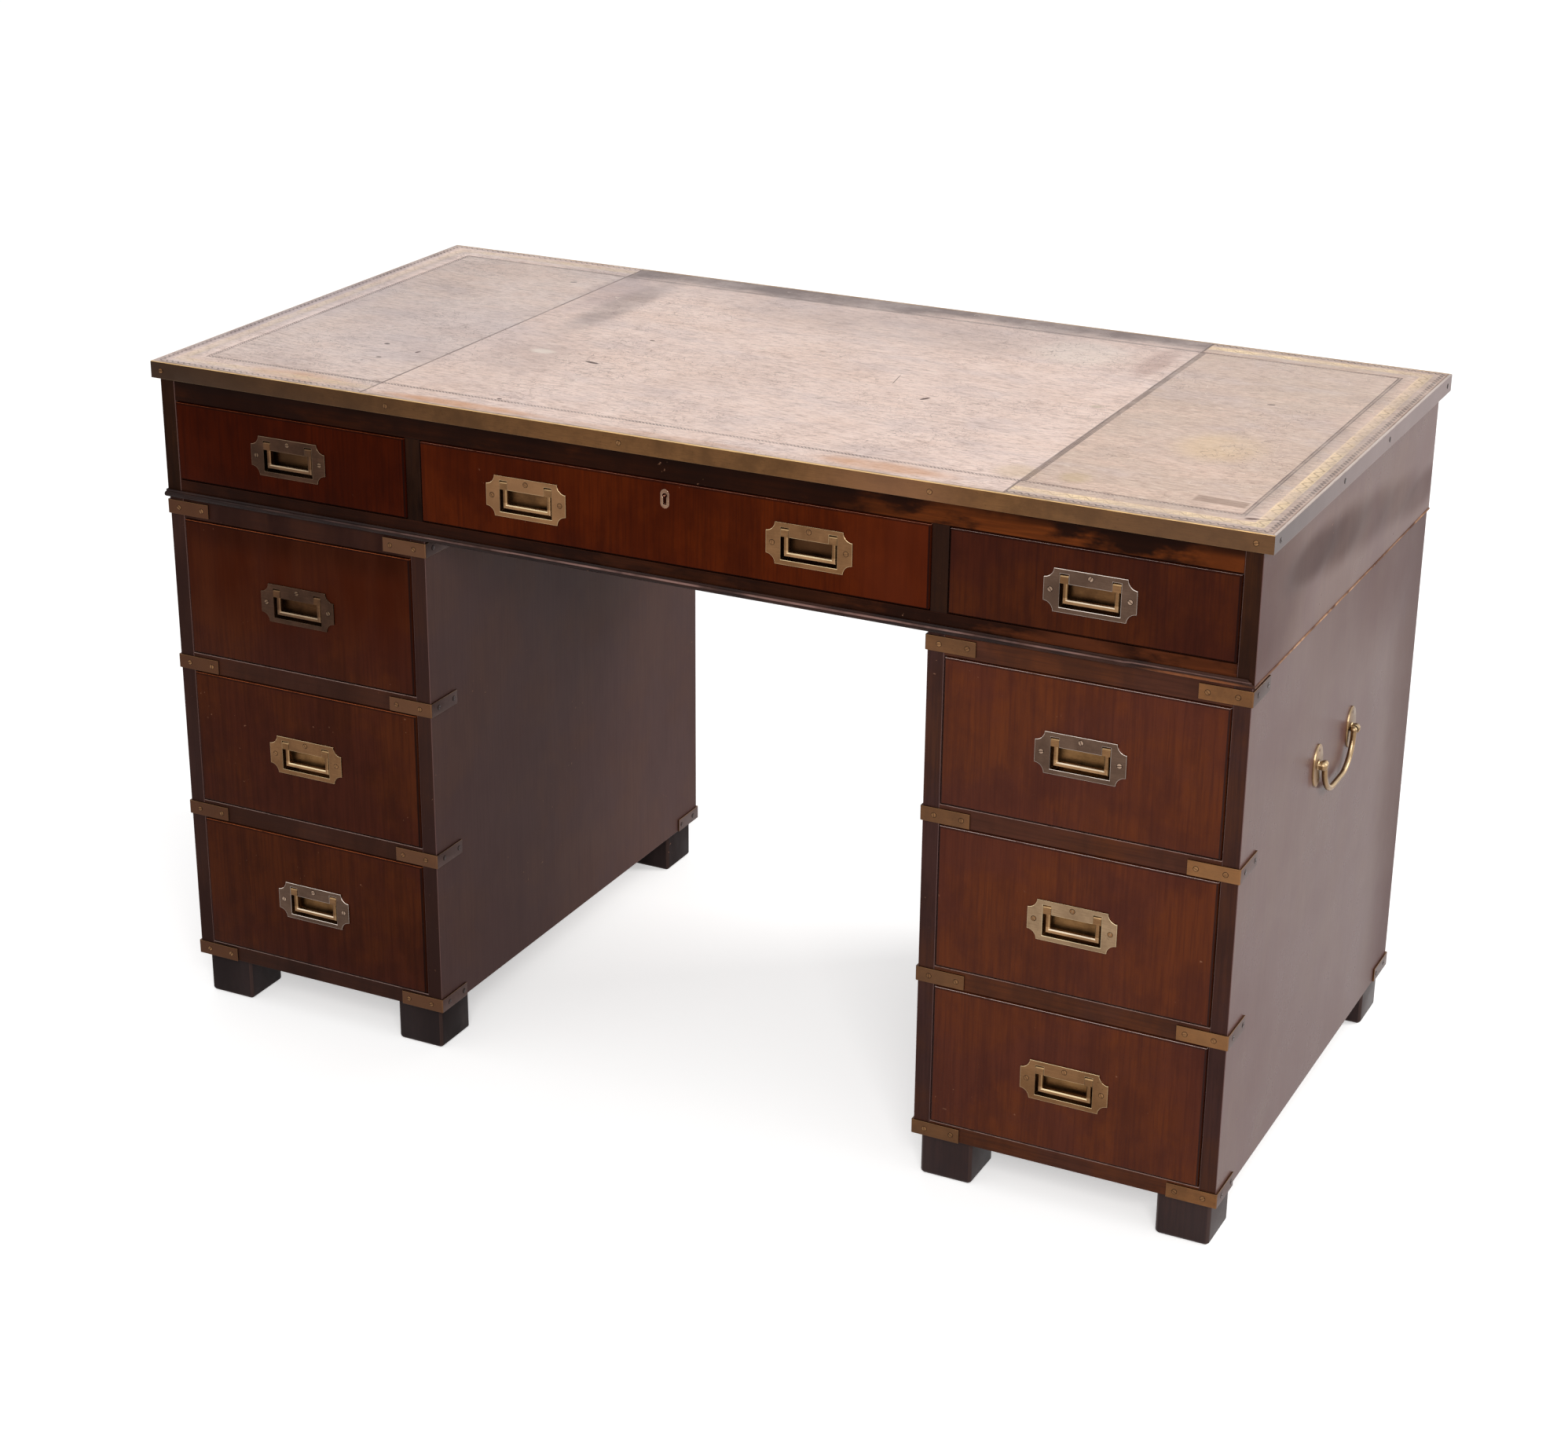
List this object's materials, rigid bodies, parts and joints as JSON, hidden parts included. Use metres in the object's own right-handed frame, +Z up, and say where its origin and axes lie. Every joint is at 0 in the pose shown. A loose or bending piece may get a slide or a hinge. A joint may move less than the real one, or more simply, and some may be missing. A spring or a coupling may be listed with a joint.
{
  "type": "campaign desk",
  "caption": "Twin-pedestal campaign desk with a leather-lined, brass-banded top, brass corner straps, drawers on flush bail handles and a drop carry handle on each side.",
  "frame": {"origin": "on the floor under the middle of the desk", "axes": "+X to the sitter's right, +Y away from the sitter, +Z up; the drawers open towards -Y"},
  "size_m": [1.27, 0.6237, 0.765],
  "materials": {
    "carcass_mahogany": "dark stained mahogany, french polished, worn on its arrises",
    "drawer_front_mahogany": "red-brown mahogany with upright grain, french polished",
    "drawer_lining": "plain unpolished secondary wood",
    "old_brass": "aged brass, brown in the hollows and brighter where it is handled",
    "desk_leather": "worn tan-grey hide with gold and blind tooled borders",
    "lock_steel": "dull steel"
  },
  "bodies": {
    "carcass": {"top_board": "carcass_mahogany", "leather_skins": "desk_leather", "brass_edge_band": "old_brass", "top_box_ends_and_back": "carcass_mahogany", "top_box_front_frame": "carcass_mahogany", "top_box_partitions_and_runners": "drawer_lining", "top_box_dust_board": "drawer_lining", "top_box_base_moulding": "carcass_mahogany", "left_pedestal_panels": "carcass_mahogany", "left_pedestal_front_frame": "carcass_mahogany", "left_pedestal_runners": "drawer_lining", "right_pedestal_panels": "carcass_mahogany", "right_pedestal_front_frame": "carcass_mahogany", "right_pedestal_runners": "drawer_lining", "block_feet": "carcass_mahogany", "corner_straps": "old_brass", "carry_handle_plates": "old_brass", "locating_pegs": "drawer_lining"},
    "left_top_drawer": {"left_top_drawer_front": "drawer_front_mahogany", "left_top_drawer_box": "drawer_lining", "left_top_handle_plate": "old_brass"},
    "left_top_bail": {"left_top_handle_bail": "old_brass"},
    "centre_top_drawer": {"centre_top_drawer_front": "drawer_front_mahogany", "centre_top_drawer_box": "drawer_lining", "centre_top_handle_plate": "old_brass", "centre_top_escutcheon": "old_brass", "centre_top_lock_case": "lock_steel"},
    "centre_top_left_bail": {"centre_top_left_handle_bail": "old_brass"},
    "centre_top_right_bail": {"centre_top_right_handle_bail": "old_brass"},
    "right_top_drawer": {"right_top_drawer_front": "drawer_front_mahogany", "right_top_drawer_box": "drawer_lining", "right_top_handle_plate": "old_brass"},
    "right_top_bail": {"right_top_handle_bail": "old_brass"},
    "left_lower_drawer": {"left_lower_drawer_front": "drawer_front_mahogany", "left_lower_drawer_box": "drawer_lining", "left_lower_handle_plate": "old_brass"},
    "left_lower_bail": {"left_lower_handle_bail": "old_brass"},
    "left_middle_drawer": {"left_middle_drawer_front": "drawer_front_mahogany", "left_middle_drawer_box": "drawer_lining", "left_middle_handle_plate": "old_brass"},
    "left_middle_bail": {"left_middle_handle_bail": "old_brass"},
    "left_upper_drawer": {"left_upper_drawer_front": "drawer_front_mahogany", "left_upper_drawer_box": "drawer_lining", "left_upper_handle_plate": "old_brass"},
    "left_upper_bail": {"left_upper_handle_bail": "old_brass"},
    "right_lower_drawer": {"right_lower_drawer_front": "drawer_front_mahogany", "right_lower_drawer_box": "drawer_lining", "right_lower_handle_plate": "old_brass"},
    "right_lower_bail": {"right_lower_handle_bail": "old_brass"},
    "right_middle_drawer": {"right_middle_drawer_front": "drawer_front_mahogany", "right_middle_drawer_box": "drawer_lining", "right_middle_handle_plate": "old_brass"},
    "right_middle_bail": {"right_middle_handle_bail": "old_brass"},
    "right_upper_drawer": {"right_upper_drawer_front": "drawer_front_mahogany", "right_upper_drawer_box": "drawer_lining", "right_upper_handle_plate": "old_brass"},
    "right_upper_bail": {"right_upper_handle_bail": "old_brass"},
    "left_carry_bail": {"left_carry_bail": "old_brass"},
    "right_carry_bail": {"right_carry_bail": "old_brass"},
    "lock_bolt": {"centre_top_lock_bolt": "lock_steel"}
  },
  "joints": [
    {"name": "left_top_drawer_slide", "type": "slide", "parent": "carcass", "child": "left_top_drawer", "axis": [0, -1, 0], "range_m": [0, 0.4]},
    {"name": "left_top_bail_hinge", "type": "hinge", "parent": "left_top_drawer", "child": "left_top_bail", "pos_m": [-0.459, -0.3087, 0.6901], "axis": [-1, 0, 0], "range_deg": [0, 95]},
    {"name": "centre_top_drawer_slide", "type": "slide", "parent": "carcass", "child": "centre_top_drawer", "axis": [0, -1, 0], "range_m": [0, 0.4]},
    {"name": "centre_top_left_bail_hinge", "type": "hinge", "parent": "centre_top_drawer", "child": "centre_top_left_bail", "pos_m": [-0.1625, -0.3087, 0.6901], "axis": [-1, 0, 0], "range_deg": [0, 95]},
    {"name": "centre_top_right_bail_hinge", "type": "hinge", "parent": "centre_top_drawer", "child": "centre_top_right_bail", "pos_m": [0.1625, -0.3087, 0.6901], "axis": [-1, 0, 0], "range_deg": [0, 95]},
    {"name": "right_top_drawer_slide", "type": "slide", "parent": "carcass", "child": "right_top_drawer", "axis": [0, -1, 0], "range_m": [0, 0.4]},
    {"name": "right_top_bail_hinge", "type": "hinge", "parent": "right_top_drawer", "child": "right_top_bail", "pos_m": [0.459, -0.3087, 0.6901], "axis": [-1, 0, 0], "range_deg": [0, 95]},
    {"name": "left_lower_drawer_slide", "type": "slide", "parent": "carcass", "child": "left_lower_drawer", "axis": [0, -1, 0], "range_m": [0, 0.4]},
    {"name": "left_lower_bail_hinge", "type": "hinge", "parent": "left_lower_drawer", "child": "left_lower_bail", "pos_m": [-0.4573, -0.3087, 0.1611], "axis": [-1, 0, 0], "range_deg": [0, 95]},
    {"name": "left_middle_drawer_slide", "type": "slide", "parent": "carcass", "child": "left_middle_drawer", "axis": [0, -1, 0], "range_m": [0, 0.4]},
    {"name": "left_middle_bail_hinge", "type": "hinge", "parent": "left_middle_drawer", "child": "left_middle_bail", "pos_m": [-0.4573, -0.3087, 0.3416], "axis": [-1, 0, 0], "range_deg": [0, 95]},
    {"name": "left_upper_drawer_slide", "type": "slide", "parent": "carcass", "child": "left_upper_drawer", "axis": [0, -1, 0], "range_m": [0, 0.4]},
    {"name": "left_upper_bail_hinge", "type": "hinge", "parent": "left_upper_drawer", "child": "left_upper_bail", "pos_m": [-0.4573, -0.3087, 0.5221], "axis": [-1, 0, 0], "range_deg": [0, 95]},
    {"name": "right_lower_drawer_slide", "type": "slide", "parent": "carcass", "child": "right_lower_drawer", "axis": [0, -1, 0], "range_m": [0, 0.4]},
    {"name": "right_lower_bail_hinge", "type": "hinge", "parent": "right_lower_drawer", "child": "right_lower_bail", "pos_m": [0.4573, -0.3087, 0.1611], "axis": [-1, 0, 0], "range_deg": [0, 95]},
    {"name": "right_middle_drawer_slide", "type": "slide", "parent": "carcass", "child": "right_middle_drawer", "axis": [0, -1, 0], "range_m": [0, 0.4]},
    {"name": "right_middle_bail_hinge", "type": "hinge", "parent": "right_middle_drawer", "child": "right_middle_bail", "pos_m": [0.4573, -0.3087, 0.3416], "axis": [-1, 0, 0], "range_deg": [0, 95]},
    {"name": "right_upper_drawer_slide", "type": "slide", "parent": "carcass", "child": "right_upper_drawer", "axis": [0, -1, 0], "range_m": [0, 0.4]},
    {"name": "right_upper_bail_hinge", "type": "hinge", "parent": "right_upper_drawer", "child": "right_upper_bail", "pos_m": [0.4573, -0.3087, 0.5221], "axis": [-1, 0, 0], "range_deg": [0, 95]},
    {"name": "left_carry_bail_hinge", "type": "hinge", "parent": "carcass", "child": "left_carry_bail", "pos_m": [-0.6298, -0.005, 0.4425], "axis": [0, 1, 0], "range_deg": [-5, 185]},
    {"name": "right_carry_bail_hinge", "type": "hinge", "parent": "carcass", "child": "right_carry_bail", "pos_m": [0.6298, -0.005, 0.4425], "axis": [0, -1, 0], "range_deg": [-5, 185]},
    {"name": "lock_bolt_throw", "type": "slide", "parent": "centre_top_drawer", "child": "lock_bolt", "axis": [0, 0, 1], "range_m": [0, 0.007]}
  ]
}
